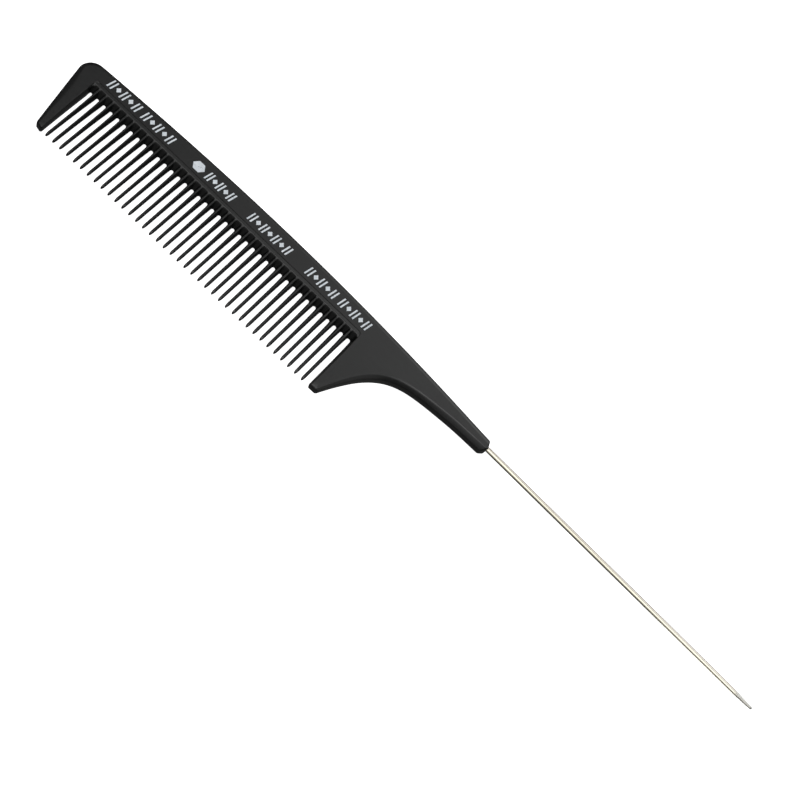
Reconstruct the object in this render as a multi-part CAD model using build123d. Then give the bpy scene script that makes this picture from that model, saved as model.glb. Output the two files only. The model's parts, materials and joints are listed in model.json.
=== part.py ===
from build123d import *
import os
from math import cos, sin, tan, radians, sqrt

# Metal pin tail comb: one moulded plastic body, one steel pin moulded into the
# handle, and the pad-printed marks on the spine's upper face.
#
# Row frame, millimetres: origin on the pin's axis in the plane that closes the handle,
# +X along the pin towards its tip, +Y from the teeth towards the spine's back,
# +Z out of the printed face. z = 0 is the parting plane, and the body is the
# same above and below it. "Front" is the -X end, "rear" the end towards the handle.
#
# Head frame: the row frame turned by ROW_TILT about the origin, so that its x runs
# along the tooth row. The body is modelled in it and turned into the row frame last.

ROW_TILT = 0.9            # degrees between the pin's axis and the tooth row
TILT_COS, TILT_SIN = cos(radians(ROW_TILT)), sin(radians(ROW_TILT))


def to_row(x, y, z=0.0):
    """Head frame to row frame."""
    return Vector(x * TILT_COS - y * TILT_SIN, x * TILT_SIN + y * TILT_COS, z)


def to_head(x, y):
    """Row frame to head frame."""
    return (x * TILT_COS + y * TILT_SIN, -x * TILT_SIN + y * TILT_COS)


def lines(*points):
    """Straight edges from each point to the next."""
    return [Edge.make_line(start, end) for start, end in zip(points, points[1:])]


# ---------------------------------------------------------------- dimensions
HALF_T = 2.10             # half thickness of the spine and handle
CUT_REACH = HALF_T + 1    # half height of the tools that cut right through
BEVEL_IN = 1.15           # face bevel of the outer contour, across the face
BEVEL_DOWN = 0.55         # and down the wall

# tooth row, head frame
TEETH = 38
PITCH = 2.35813
GAP0_X = -134.10          # centre line of the first gap
LAST_X = GAP0_X + TEETH * PITCH   # and of the last
GAP_END_Y = -4.53         # closed end of the gaps on the parting plane
TIP_Y = -21.75            # tooth tips

# Half widths of a gap on the parting plane, and their y stations:
# closed end, down the tooth, where the tip rounding starts, beside the tooth tip
TOOTH_HALF = (0.47, 0.64, 0.735, PITCH / 2 - 0.085)
FRONT_HALF = (0.65, 0.64, 0.46, 0.44)     # on the front guard's side of the first gap
REAR_EXTRA = 0.17         # the rear guard's flank stands this much further off
REAR_HALF = tuple(TOOTH_HALF[i] + REAR_EXTRA for i in (0, 1, 2))
REAR_HALF += (REAR_HALF[2] + 0.01,)
FLANK_Y = (GAP_END_Y - 0.55, GAP_END_Y - 5.9, TIP_Y + 1.05, TIP_Y - 0.05)
GAP_OPEN_Y = TIP_Y - 2.0  # the gap tools run out to here, past the tips

# flanks lean back from the gap by this much per mm of height
TOOTH_DRAFT, FRONT_DRAFT, REAR_DRAFT = 0.26, 0.12, 0.34
FUNNEL_SLOPE = 0.80       # and the closed end by this much
GAP_CORNER_R = 0.42       # corner radius of the closed end, parting plane
GAP_CORNER_LOSS = 0.03    # the radius shrinks by this much per mm of height
GAP_TOOL_Z = 2.6          # half height of the gap tools

CREST_ROOT_Z = 1.86       # height of the tooth crest at the root
CREST_TIP_Z = 0.74        # and near the tip
TIP_ROUND = 0.62          # length of the rounding at the tooth tip
WINDOW_TOP_Y = -1.80      # upper edge of the tooth window in the face
WINDOW_H = 30.0
WINDOW_R = 0.9
BEAD_Y = -2.58            # bead that runs along the tooth roots
BEAD_HALF_W = 0.55
BEAD_TOP_Z = 2.07
GROOVE_Z = 1.97           # floor of the shallow groove above the bead
BANK_OVERLAP = 1.0        # the bank reaches this far into the spine
BANK_END_OVERLAP = 0.5    # and this far into each guard

# guards, seen from the side: the faces curve in towards the tips
GUARD_FLAT_Y = -3.0       # the curve starts here
GUARD_TIP_Y = -24.6
GUARD_TIP_HALF_T = 1.02
SIDE_TOP_Y = 8.0          # ends of the side profile, clear of the body
SIDE_END_Y = GUARD_TIP_Y - 3.0
SIDE_X, SIDE_LENGTH = -150.0, 160.0   # start and length of its sweep

# Outline on the parting plane: x, y points measured in the row frame
BACK = [to_head(*p) for p in (
    (-136.5, 0.243), (-130.0, 0.765), (-115.0, 1.821), (-100.0, 2.645),
    (-85.0, 3.218), (-70.0, 3.526), (-55.0, 3.562), (-40.0, 3.323),
    (-25.0, 2.812), (-12.0, 2.155), (-0.95, 1.52))]
# from the rear guard's outer tip up to the handle and along its lower side
THROAT = [to_head(*p) for p in (
    (-40.53, -22.13), (-38.854, -18.417), (-37.058, -14.949), (-35.014, -11.638),
    (-32.486, -8.696), (-29.406, -6.393), (-25.890, -4.858), (-22.127, -3.968),
    (-18.280, -3.441), (-14.418, -3.040), (-10.543, -2.716), (-6.658, -2.532),
    (-1.15, -2.385))]
NOSE_CORNER = to_head(-141.70, -0.23)     # sharp corner the nose radius is taken from
FRONT_OUT = to_head(-136.35, -23.35)      # corners of the guard tips
FRONT_IN = to_head(-134.15, -23.80)
REAR_IN = to_head(-44.30, -22.17)
REAR_OUT = THROAT[0]
END_FAR = BACK[-1]                        # corners of the handle's end
END_NEAR = to_head(0.0, -0.80)            # this one is beside the pin
END_LOW = THROAT[-1]
NOSE_R = 3.9

# head-frame slopes and directions
BACK_END_SLOPE = -0.062
THROAT_END_SLOPE = 0.02
THROAT_TIP_TANGENT = (-0.43, -0.9)
THROAT_TIP_RISE = (0.455, 1.0)            # from the rear guard's tip up its outer side
RUN_ON_X = 3.0            # the handle is first drawn on to here
RUN_ON_DROP = 0.185       # fall of the back over that run

# corner, the two points its edges run to, radius
ROUNDED_CORNERS = (
    (FRONT_OUT, NOSE_CORNER, FRONT_IN, 0.80),
    (REAR_OUT, REAR_IN,
     (REAR_OUT[0] + THROAT_TIP_RISE[0], REAR_OUT[1] + THROAT_TIP_RISE[1]), 0.85),
    (END_FAR, END_NEAR, (END_FAR[0] - 1.0, END_FAR[1] - BACK_END_SLOPE), 0.55),
    (END_NEAR, END_FAR, END_LOW, 0.45),
    (END_LOW, END_NEAR, (END_LOW[0] - 1.0, END_LOW[1] - THROAT_END_SLOPE), 0.80),
)

# tail pin
PIN_R = 0.725             # parallel stretch
PIN_PARALLEL = 60.0       # the wire is parallel up to here
NECK_X = (-0.7, -0.15, 0.4)   # shallow neck where the mould shuts off on the wire
NECK_DEPTH = 0.03
PIN_WAIST_R = 0.66        # radius where the point starts
PIN_POINT_X = 87.3
PIN_TIP_R = 0.40
PIN_TIP_ANGLE = radians(70)   # arc of the rounded tip, from the axis
PIN_LENGTH = 93.34
ROOT_LENGTH = 24.0        # moulded-in root inside the handle
ROOT_CHAMFER = 0.12
WING_X = (-20.5, -14.0, -7.5)   # crimped wings that key the root
WING_LEN = 2.6
WING_HALF_W = 1.12
WING_END_HALF_W = 0.55
WING_HALF_T = 0.42

# printed marks, head frame
PRINT_T = 0.03
MARK_H = 2.76
BAR_W = 0.44
BAR_LEAN = 0.50           # top of a bar stands this much further along than its foot
RHOMB_W = 1.50
RHOMB_H = MARK_H * 0.62
MARK_ROOM = {"b": BAR_W + 0.52, "r": RHOMB_W + 0.42, "s": 1.1}   # relative spacing

# name: start x, end x, centre y, pattern (b is a bar, r a rhomb, s a space)
MARK_RUNS = {
    "print_marks_front": (-132.8, -110.6, 0.33, "bbrbbrbbsbbrbbrbb"),
    "print_marks_mid": (-99.0, -89.7, 0.44, "bbrbbrbb"),
    "print_marks_centre": (-84.2, -70.1, 0.52, "bbrbbrbbrbb"),
    "print_marks_rear": (-64.3, -42.6, 0.62, "bbrbbrbbsbbrbbrbb"),
}
EMBLEM_X, EMBLEM_Y = -101.8, 0.40   # centre of the elongated hexagon
EMBLEM_W = 3.8
EMBLEM_POINT = 1.0        # length of each pointed end


# ---------------------------------------------------------------- plate
def outline_face():
    """Outer contour in the head frame. Only the nose is rounded here."""
    low_y = END_LOW[1] + THROAT_END_SLOPE * (RUN_ON_X - END_LOW[0])
    # straight bridge across the tooth window: it is cut away with the window
    bridge_y = GAP_END_Y - 3.0
    face = Face(Wire([
        *lines(NOSE_CORNER, BACK[0]),
        Edge.make_spline([Vector(*p) for p in BACK],
                         tangents=[Vector(*BACK[0]) - Vector(*NOSE_CORNER),
                                   Vector(1, BACK_END_SLOPE)]),
        # the handle runs on past its end here, so that the bevel is cut off square with it
        *lines(END_FAR, (RUN_ON_X, END_FAR[1] - RUN_ON_DROP), (RUN_ON_X, low_y), END_LOW),
        Edge.make_spline([Vector(*p) for p in reversed(THROAT)],
                         tangents=[Vector(-1, -THROAT_END_SLOPE), Vector(*THROAT_TIP_TANGENT)]),
        *lines(REAR_OUT, REAR_IN, (REAR_IN[0], bridge_y), (FRONT_IN[0], bridge_y),
               FRONT_IN, FRONT_OUT, NOSE_CORNER),
    ]))
    nose = [v for v in face.vertices()
            if abs(v.X - NOSE_CORNER[0]) < 0.05 and abs(v.Y - NOSE_CORNER[1]) < 0.05]
    return face.fillet_2d(NOSE_R, nose)


def side_envelope():
    """Side profile of the spine and guards, swept along the tooth row."""
    drop = HALF_T - GUARD_TIP_HALF_T
    run = GUARD_FLAT_Y - GUARD_TIP_Y
    radius = (run ** 2 + drop ** 2) / (2 * drop)

    def half_t(y):
        return HALF_T - (radius - sqrt(radius ** 2 - (GUARD_FLAT_Y - y) ** 2))

    mid_y = (GUARD_FLAT_Y + SIDE_END_Y) / 2
    mid_z, end_z = half_t(mid_y), half_t(SIDE_END_Y)
    # points are (y, z): the plane's local x is y and its local y is z
    profile = Face(Wire([
        *lines((SIDE_TOP_Y, HALF_T), (GUARD_FLAT_Y, HALF_T)),
        Edge.make_three_point_arc((GUARD_FLAT_Y, HALF_T), (mid_y, mid_z), (SIDE_END_Y, end_z)),
        *lines((SIDE_END_Y, end_z), (SIDE_END_Y, -end_z)),
        Edge.make_three_point_arc((SIDE_END_Y, -end_z), (mid_y, -mid_z),
                                  (GUARD_FLAT_Y, -HALF_T)),
        *lines((GUARD_FLAT_Y, -HALF_T), (SIDE_TOP_Y, -HALF_T), (SIDE_TOP_Y, HALF_T)),
    ]))
    plane = Plane(origin=(SIDE_X, 0, 0), x_dir=(0, 1, 0), z_dir=(1, 0, 0))
    return extrude(plane * profile, SIDE_LENGTH)


def bevel_contour(shape, z):
    """Bevel the outer contour of the flat face at height z.

    The bevel runs on by itself along the curved guard edges.
    """
    flat = [f for f in shape.faces().filter_by(Plane.XY) if abs(f.center().Z - z) < 1e-3][0]
    flat_edges = flat.edges()

    def is_seam(edge):
        """True between the flat and the curved face."""
        return (abs((edge @ 0.5).Y - GUARD_FLAT_Y) < 0.02
                and abs((edge @ 0.0).Y - (edge @ 1.0).Y) < 0.01)

    contour = [e for e in shape.edges()
               if e.length >= 0.01 and any(e.is_same(own) for own in flat_edges)
               and not is_seam(e)]
    return chamfer(contour, BEVEL_IN, BEVEL_DOWN, reference=flat)


def handle_end_cutter():
    """Everything past the handle's two end faces."""
    near = Vector(*END_NEAR)
    up_dir = (Vector(*END_FAR) - near).normalized()
    low_dir = (Vector(*END_LOW) - near).normalized()
    face = Face(Wire.make_polygon([
        Vector(*END_FAR) + up_dir * 3, near, Vector(*END_LOW) + low_dir * 2,
        Vector(0, -8), Vector(8, -8), Vector(8, 8)], close=True))
    return extrude(face, CUT_REACH, both=True)


def corner_cutter(corner, toward1, toward2, radius):
    """Prism that rounds the plan-view corner between the edges to toward1 and toward2."""
    corner = Vector(*corner)
    dir1 = (Vector(*toward1) - corner).normalized()
    dir2 = (Vector(*toward2) - corner).normalized()
    bisector = (dir1 + dir2).normalized()
    half_angle = radians(dir1.get_angle(dir2)) / 2
    reach = radius / tan(half_angle)
    touch1, touch2 = corner + dir1 * reach, corner + dir2 * reach
    arc_mid = corner + bisector * (radius / sin(half_angle) - radius)
    out1 = (bisector - dir1 * bisector.dot(dir1)).normalized() * -1
    out2 = (bisector - dir2 * bisector.dot(dir2)).normalized() * -1
    wire = Wire([
        Edge.make_three_point_arc(touch1, arc_mid, touch2),
        *lines(touch2, touch2 + out2 * 0.6, corner - bisector * 1.6,
               touch1 + out1 * 0.6, touch1),
    ])
    return extrude(Face(wire), CUT_REACH, both=True)


def build_plate():
    """Spine, guards and handle, with the tooth window still closed."""
    plate = extrude(outline_face(), HALF_T, both=True)
    plate = plate & side_envelope()
    for z in (HALF_T, -HALF_T):
        plate = bevel_contour(plate, z)
    plate = plate - handle_end_cutter()
    for corner in ROUNDED_CORNERS:
        plate = plate - corner_cutter(*corner)
    return plate


# ---------------------------------------------------------------- tooth bank
# the window is as wide as the row of gaps at crest height
WINDOW_LEFT = GAP0_X - (TOOTH_HALF[0] + TOOTH_DRAFT * CREST_ROOT_Z)
WINDOW_RIGHT = LAST_X + REAR_HALF[0] + REAR_DRAFT * CREST_ROOT_Z
WINDOW_W = WINDOW_RIGHT - WINDOW_LEFT


def tooth_window():
    """Opening for the teeth, rounded at its two upper corners."""
    window = Pos((WINDOW_LEFT + WINDOW_RIGHT) / 2, WINDOW_TOP_Y - WINDOW_H / 2, 0) * extrude(
        Rectangle(WINDOW_W, WINDOW_H), CUT_REACH, both=True)
    upper = [e for e in window.edges().filter_by(Axis.Z) if e.center().Y > WINDOW_TOP_Y - 1]
    return fillet(upper, WINDOW_R)


def tooth_bank():
    """Solid bar with the teeth's side profile, before the gaps are cut."""
    start_y = WINDOW_TOP_Y + BANK_OVERLAP
    bead_top_y, bead_low_y = BEAD_Y + BEAD_HALF_W, BEAD_Y - BEAD_HALF_W
    round_y = TIP_Y + TIP_ROUND
    upper = [
        *lines((start_y, GROOVE_Z), (bead_top_y, GROOVE_Z)),
        Edge.make_three_point_arc((bead_top_y, GROOVE_Z), (BEAD_Y, BEAD_TOP_Z),
                                  (bead_low_y, CREST_ROOT_Z)),
        *lines((bead_low_y, CREST_ROOT_Z), (round_y, CREST_TIP_Z)),
        Edge.make_three_point_arc((round_y, CREST_TIP_Z),
                                  (TIP_Y + 0.18, CREST_TIP_Z * 0.66), (TIP_Y, 0)),
    ]
    lower = [e.mirror(Plane.XZ) for e in upper]
    profile = Face(Wire(upper + lower + lines((start_y, GROOVE_Z), (start_y, -GROOVE_Z))))
    plane = Plane(origin=(WINDOW_LEFT - BANK_END_OVERLAP, 0, 0),
                  x_dir=(0, 1, 0), z_dir=(1, 0, 0))
    return extrude(plane * profile, WINDOW_W + 2 * BANK_END_OVERLAP)


# ---------------------------------------------------------------- gaps
# a side of a gap: its half widths and its draft
TOOTH_SIDE = (TOOTH_HALF, TOOTH_DRAFT)
FRONT_SIDE = (FRONT_HALF, FRONT_DRAFT)
REAR_SIDE = (REAR_HALF, REAR_DRAFT)


def gap_side(z, x_center, side, sign):
    """Points down one side of a gap. The first three are the arc at the closed end."""
    height = abs(z)
    half_widths, draft = side
    widths = [w + draft * height for w in half_widths]
    radius = GAP_CORNER_R - GAP_CORNER_LOSS * height
    inset = radius * (1 - sqrt(0.5))
    end_y = GAP_END_Y + FUNNEL_SLOPE * height
    offsets = [(widths[0] - radius, end_y), (widths[0] - inset, end_y - inset),
               (widths[0], end_y - radius), *zip(widths, FLANK_Y), (widths[3], GAP_OPEN_Y)]
    return [(x_center + sign * x, y, z) for x, y in offsets]


def gap_wire(z, x_center, left, right):
    """Gap outline at height z: closed end up, flanks down, running out past the tips."""
    right_pts = gap_side(z, x_center, right, 1)
    left_pts = gap_side(z, x_center, left, -1)
    return Wire([
        *lines(left_pts[0], right_pts[0]),
        Edge.make_three_point_arc(*right_pts[:3]),
        *lines(*right_pts[2:], *reversed(left_pts[2:])),
        Edge.make_three_point_arc(*reversed(left_pts[:3])),
    ])


def gap_tool(x_center, left=TOOTH_SIDE, right=TOOTH_SIDE):
    return Solid.make_loft([gap_wire(z, x_center, left, right)
                            for z in (-GAP_TOOL_Z, 0, GAP_TOOL_Z)], ruled=True)


def gap_tools():
    """All the gaps. The guards' flanks run on past the tooth tips, so the guards stay whole."""
    inner = gap_tool(0)
    return [gap_tool(GAP0_X, left=FRONT_SIDE),
            *(Pos(GAP0_X + i * PITCH, 0, 0) * inner for i in range(1, TEETH)),
            gap_tool(LAST_X, right=REAR_SIDE)]


# ---------------------------------------------------------------- tail pin
def pin_wing(x):
    """The wire is pinched flat here and spreads sideways."""
    end, shoulder = WING_LEN / 2, WING_LEN / 4
    outline = [(x - end, -WING_END_HALF_W), (x - shoulder, -WING_HALF_W),
               (x + shoulder, -WING_HALF_W), (x + end, -WING_END_HALF_W),
               (x + end, WING_END_HALF_W), (x + shoulder, WING_HALF_W),
               (x - shoulder, WING_HALF_W), (x - end, WING_END_HALF_W)]
    return extrude(Face(Wire.make_polygon(outline, close=True)), WING_HALF_T, both=True)


def build_pin():
    def tip_point(angle):
        return (PIN_LENGTH - PIN_TIP_R + PIN_TIP_R * cos(angle), 0, PIN_TIP_R * sin(angle))

    # x, radius from the root's end face to the start of the rounded tip
    stations = [
        (-ROOT_LENGTH, 0), (-ROOT_LENGTH, PIN_R - ROOT_CHAMFER),
        (-ROOT_LENGTH + ROOT_CHAMFER, PIN_R),
        (NECK_X[0], PIN_R), (NECK_X[1], PIN_R - NECK_DEPTH), (NECK_X[2], PIN_R),
        (PIN_PARALLEL, PIN_R), (PIN_POINT_X, PIN_WAIST_R),
    ]
    tip_start = tip_point(PIN_TIP_ANGLE)
    profile = Face(Wire([
        *lines(*((x, 0, radius) for x, radius in stations), tip_start),
        Edge.make_three_point_arc(tip_start, tip_point(PIN_TIP_ANGLE / 2), (PIN_LENGTH, 0, 0)),
        *lines((PIN_LENGTH, 0, 0), (-ROOT_LENGTH, 0, 0)),
    ]))
    pin = Solid.revolve(profile, 360, Axis.X)
    for x in WING_X:
        pin = pin + pin_wing(x)
    return pin


def build_body(pin):
    """Comb body in the row frame, with the pin's cavity taken out of the handle."""
    plate = build_plate() - tooth_window()
    head = plate + tooth_bank()
    comb = head - gap_tools()
    return comb.rotate(Axis.Z, ROW_TILT) - pin


# ---------------------------------------------------------------- printed marks
def printed(points, y_center):
    """Thin print on the upper face, from a head-frame outline about y_center."""
    wire = Wire.make_polygon([to_row(x, y + y_center, HALF_T) for x, y in points], close=True)
    return Solid.extrude(Face(wire), Vector(0, 0, PRINT_T))


def bar(x):
    h, w, lean = MARK_H / 2, BAR_W / 2, BAR_LEAN / 2
    return [(x - w - lean, -h), (x + w - lean, -h), (x + w + lean, h), (x - w + lean, h)]


def rhomb(x):
    h, w = RHOMB_H / 2, RHOMB_W / 2
    return [(x - w, 0), (x, -h), (x + w, 0), (x, h)]


def mark_run(start_x, end_x, y_center, pattern):
    """Marks of the pattern, spread to fill the length between two stations."""
    shapes = {"b": bar, "r": rhomb}
    stretch = (end_x - start_x) / sum(MARK_ROOM[kind] for kind in pattern)
    x = start_x
    marks = []
    for kind in pattern:
        room = MARK_ROOM[kind] * stretch
        if kind in shapes:
            marks.append(printed(shapes[kind](x + room / 2), y_center))
        x += room
    return marks


def emblem():
    h, w = MARK_H / 2, EMBLEM_W / 2
    left, right = EMBLEM_X - w, EMBLEM_X + w
    return printed([(left, 0), (left + EMBLEM_POINT, -h), (right - EMBLEM_POINT, -h),
                    (right, 0), (right - EMBLEM_POINT, h), (left + EMBLEM_POINT, h)], EMBLEM_Y)


# ---------------------------------------------------------------- export
def write(name, solids):
    shape = Compound(children=list(solids)) if len(solids) > 1 else solids[0]
    shape.label = name
    export_step(shape, f"parts/{name}.step")


os.makedirs("parts", exist_ok=True)
tail_pin = build_pin()
write("comb_body", build_body(tail_pin).solids())
write("tail_pin", tail_pin.solids())
for name, run in MARK_RUNS.items():
    write(name, mark_run(*run))
write("print_emblem", [emblem()])
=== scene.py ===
"""A black moulded tail comb with a polished steel pin for a tail.

The comb lies flat with its parting plane at z = 0. Its handle ends at x = 0, where the pin leaves
along +x. The head lies towards -x and its teeth point towards -y. The smooth edge on the +y side is
called the spine. A thick guard closes the tooth row at either end: the outer guard at the -x end,
the handle guard beside the handle. Lengths are millimetres until a mesh is made. The comb is modelled
in a "head frame", turned so that the tooth row runs along x, as an upper half that is then mirrored.
"""
import json
from math import acos, cos, exp, pi, radians, sin, tan
from typing import NamedTuple
import bmesh
import bpy
import numpy as np
from mathutils import Matrix, Vector
from mathutils.geometry import delaunay_2d_cdt

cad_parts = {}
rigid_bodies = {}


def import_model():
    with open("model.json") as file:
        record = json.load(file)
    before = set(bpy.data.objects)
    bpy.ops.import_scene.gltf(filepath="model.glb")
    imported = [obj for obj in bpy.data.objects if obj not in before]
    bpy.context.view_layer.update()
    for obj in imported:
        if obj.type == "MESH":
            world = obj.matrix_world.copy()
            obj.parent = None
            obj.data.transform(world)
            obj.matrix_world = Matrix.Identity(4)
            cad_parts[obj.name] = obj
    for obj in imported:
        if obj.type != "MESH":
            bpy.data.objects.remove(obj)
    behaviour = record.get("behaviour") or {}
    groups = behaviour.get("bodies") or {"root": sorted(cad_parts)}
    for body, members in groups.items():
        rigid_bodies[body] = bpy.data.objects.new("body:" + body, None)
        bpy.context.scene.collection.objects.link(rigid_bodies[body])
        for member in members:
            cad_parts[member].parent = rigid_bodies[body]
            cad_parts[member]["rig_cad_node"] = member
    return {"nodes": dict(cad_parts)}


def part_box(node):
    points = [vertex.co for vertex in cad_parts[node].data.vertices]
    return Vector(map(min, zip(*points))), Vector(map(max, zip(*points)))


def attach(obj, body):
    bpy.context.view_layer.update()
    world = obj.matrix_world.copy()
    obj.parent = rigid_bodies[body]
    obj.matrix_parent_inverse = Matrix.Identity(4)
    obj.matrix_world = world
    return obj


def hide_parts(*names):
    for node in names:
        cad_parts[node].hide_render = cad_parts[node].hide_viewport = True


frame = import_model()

# ---------------------------------------------------------------- dimensions
MM = 1000                                # millimetres in a metre
ROW_TILT = 0.9                           # degrees from the head frame to the CAD frame
TILT_COS, TILT_SIN = cos(radians(ROW_TILT)), sin(radians(ROW_TILT))

HALF_T = 2.10                            # half thickness of the comb
BEVEL_INSET, BEVEL_DROP = 1.15, 0.55     # bevel between wall and face
LOWER_INSET, LOWER_DROP = 1.38, 0.95     # the handle's -y edge has a wider, steeper bevel
END_INSET = 0.35                         # bevel of the handle's end
TIP_INSET, TIP_IN_INSET = 0.50, 0.37     # bevel under a guard's tip, and at its corner to the teeth
OUTER_INSET, HANDLE_INSET = 0.60, 0.66   # bevel at the foot of the two guards' outer sides
GUARD_BEVEL_Y, GUARD_BEVEL_RUN = -21.0, 16.0   # where that bevel starts to widen, over what length
RIDGE_R = 0.12                           # plan radius of the ridge's corners on the handle's end
STRIP, TIP_STRIP, END_STRIP = 0.13, 0.10, 0.08  # width of the first strip of flat face
SOFTNESS = 0.13                          # how far a ridge is rounded
FOOT_Z = 0.05                            # height of the steep foot of the wall

TEETH, PITCH, FIRST_GAP_X = 38, 2.35813, -134.10
LAST_GAP_X = FIRST_GAP_X + TEETH * PITCH
TOOTH_TIP_Y = -21.75
GAP_END_Y = -4.53                        # closed end of the gaps on the parting plane
GAP_END_R, GAP_END_SLOPE = 0.44, 0.80    # its plan radius, and its slope
END_ARC_Y = GAP_END_Y - GAP_END_R        # where the gap's flanks run into the closed end
TOOTH_DRAFT, OUTER_DRAFT, HANDLE_DRAFT = 0.26, 0.12, 0.34     # draft of the flanks
HANDLE_EXTRA = 0.17                      # extra width of the gap beside the handle guard
GUARD_GROWTH = 0.30                      # widening with height of a gap's end corner at a guard
CREST_ROOT_Z, CREST_TIP_Z = 1.86, 0.74
BLEND = 0.22                             # width over which crest and flank are blended

WINDOW_TOP_Y, WINDOW_R = -1.80, 0.9      # sunk rounded window in the face that holds the teeth
WINDOW_LEFT, WINDOW_RIGHT = FIRST_GAP_X - 0.95, LAST_GAP_X + 1.27
BEAD_Y, BEAD_HALF_W, BEAD_TOP_Z, GROOVE_Z = -2.58, 0.55, 2.07, 1.97
GUARD_FLAT_Y, GUARD_TIP_Y, GUARD_TIP_HALF_T = -3.0, -24.6, 1.02   # the faces curve in between

# Outline in the CAD frame, (x, y). The spine runs towards +x, the lower edge from guard to handle.
SPINE = [
    (-136.5, 0.243), (-130.0, 0.765), (-115.0, 1.821), (-100.0, 2.645), (-85.0, 3.218),
    (-70.0, 3.526), (-55.0, 3.562), (-40.0, 3.323), (-25.0, 2.812), (-12.0, 2.155), (-0.95, 1.52),
]
LOWER_EDGE = [
    (-40.53, -22.13), (-38.854, -18.417), (-37.058, -14.949), (-35.014, -11.638),
    (-32.486, -8.696), (-29.406, -6.393), (-25.890, -4.858), (-22.127, -3.968),
    (-18.280, -3.441), (-14.418, -3.040), (-10.543, -2.716), (-6.658, -2.532), (-1.15, -2.385),
]
NOSE, NOSE_R = (-141.70, -0.23), 3.9     # corner between the outer guard and the spine
OUTER_TIP_OUT, OUTER_TIP_IN = (-136.35, -23.35), (-134.15, -23.80)
HANDLE_TIP_IN = (-44.30, -22.17)
HANDLE_POINT = (0.0, -0.80)              # the handle's furthest point towards +x

# y stations down a guard's flank, and down a tooth as far as its rounded tip
FLANK_END_Y = -20.8
FLANK_ROWS = [END_ARC_Y, -5.3, -5.8, -6.5, -7.4, -8.5, -9.8, -11.2, -12.7, -14.2, -15.7, -17.2,
              -18.7, -20.0, FLANK_END_Y]
TOOTH_ROWS = [END_ARC_Y, -5.35, -5.85, -6.5, -7.3, -8.3, -9.5, -10.8, -12.2, -13.6, -15.0, -16.4,
              -17.8, -19.1, -20.0]
TIP_START_Y = -20.30
TIP_ANGLES = (0, 14, 28, 42, 55, 67, 78)     # rows round a tooth's tip, degrees
GUARD_FOOT_Y = -21.6                     # height of face that sets the bevel at a guard's foot

# Tooth section: crest columns as shares of the half crest, then flank columns from the crest down,
# with the wear of all of them
CREST_SHARES = np.array([0.0, 0.34, 0.64, 0.86])
FLANK_SHARES = np.array([0.97, 0.86, 0.68, 0.48, 0.27, 0.10, 0.0])
TOOTH_WEAR = np.array([0.15, 0.15, 0.2, 0.5, 0.9, 0.45, 0.0, 0.0, 0.0, 0.1, 0.5])
END_ARC_ANGLES = np.radians([20, 38, 56, 74, 90])

# Rows across the top of the tooth bank: fixed y, then shares of the way to each column's end
BANK_ROWS = [-1.50, -1.64, -1.71, -1.75, -1.785, -1.82, -1.86, -1.93, -2.03, -2.14, -2.26, -2.38,
             -2.50, -2.61, -2.71, -2.79, -2.86, -2.92, -2.99, -3.08]
BANK_SPLIT_Y = -3.20
BANK_SHARES = [0.0, 0.1, 0.2, 0.3, 0.4, 0.5, 0.6, 0.7, 0.8, 0.88, 0.95, 1.0]

# Inner points of the flat face: staggered grid, kept clear of its edge
FILL_X, FILL_X_STEP = (-140.5, 0.0), 1.7
FILL_Y, FILL_Y_STEP = (-22.0, 3.5), 1.45
FILL_CLEARANCE = 0.55

PIN_R, PIN_START, PIN_END, PIN_TIP_R = 0.725, -24.0, 93.34, 0.40
PIN_SIDES = 56
TAPER_START, TAPER_LENGTH, TAPER_DEPTH = 60, 27.3, 0.065
CONE_START, CONE_R = 87.6, 0.645         # start of the conical point
WING_X = (-20.5, -14.0, -7.5)            # centres of the wings squeezed out of the buried end
WING_HALF_W, WING_HALF_T = 1.12, 0.42
WING_PROFILE = [(-1.45, 0.0), (-1.15, 0.35), (-0.8, 0.85), (-0.45, 1.0),
                (0.45, 1.0), (0.8, 0.85), (1.15, 0.35), (1.45, 0.0)]    # x offset, share of wing
BORE_CLEARANCE, BORE_END = 0.008, 3.9


# ---------------------------------------------------------------- plane geometry
def head(point):
    """A CAD point in the head frame."""
    x, y = point
    return np.array([x * TILT_COS + y * TILT_SIN, -x * TILT_SIN + y * TILT_COS])


def unit(vector):
    vector = np.asarray(vector, float)
    return vector / np.linalg.norm(vector)


def right(direction):
    """The inward side of a clockwise walk round the outline."""
    return np.array([direction[1], -direction[0]])


def lerp(a, b, share):
    return a + (b - a) * share


def smooth(t):
    t = np.clip(t, 0.0, 1.0)
    return t * t * (3 - 2 * t)


def soft_min(a, b):
    overlap = np.maximum(BLEND - np.abs(a - b), 0.0)
    return np.minimum(a, b) - overlap * overlap / (4 * BLEND)


def bezier(p0, p1, p2, t):
    return (1 - t) ** 2 * p0 + 2 * t * (1 - t) * p1 + t ** 2 * p2


def slide_to_x(point, direction, x):
    return point + direction * ((x - point[0]) / direction[0])


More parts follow.
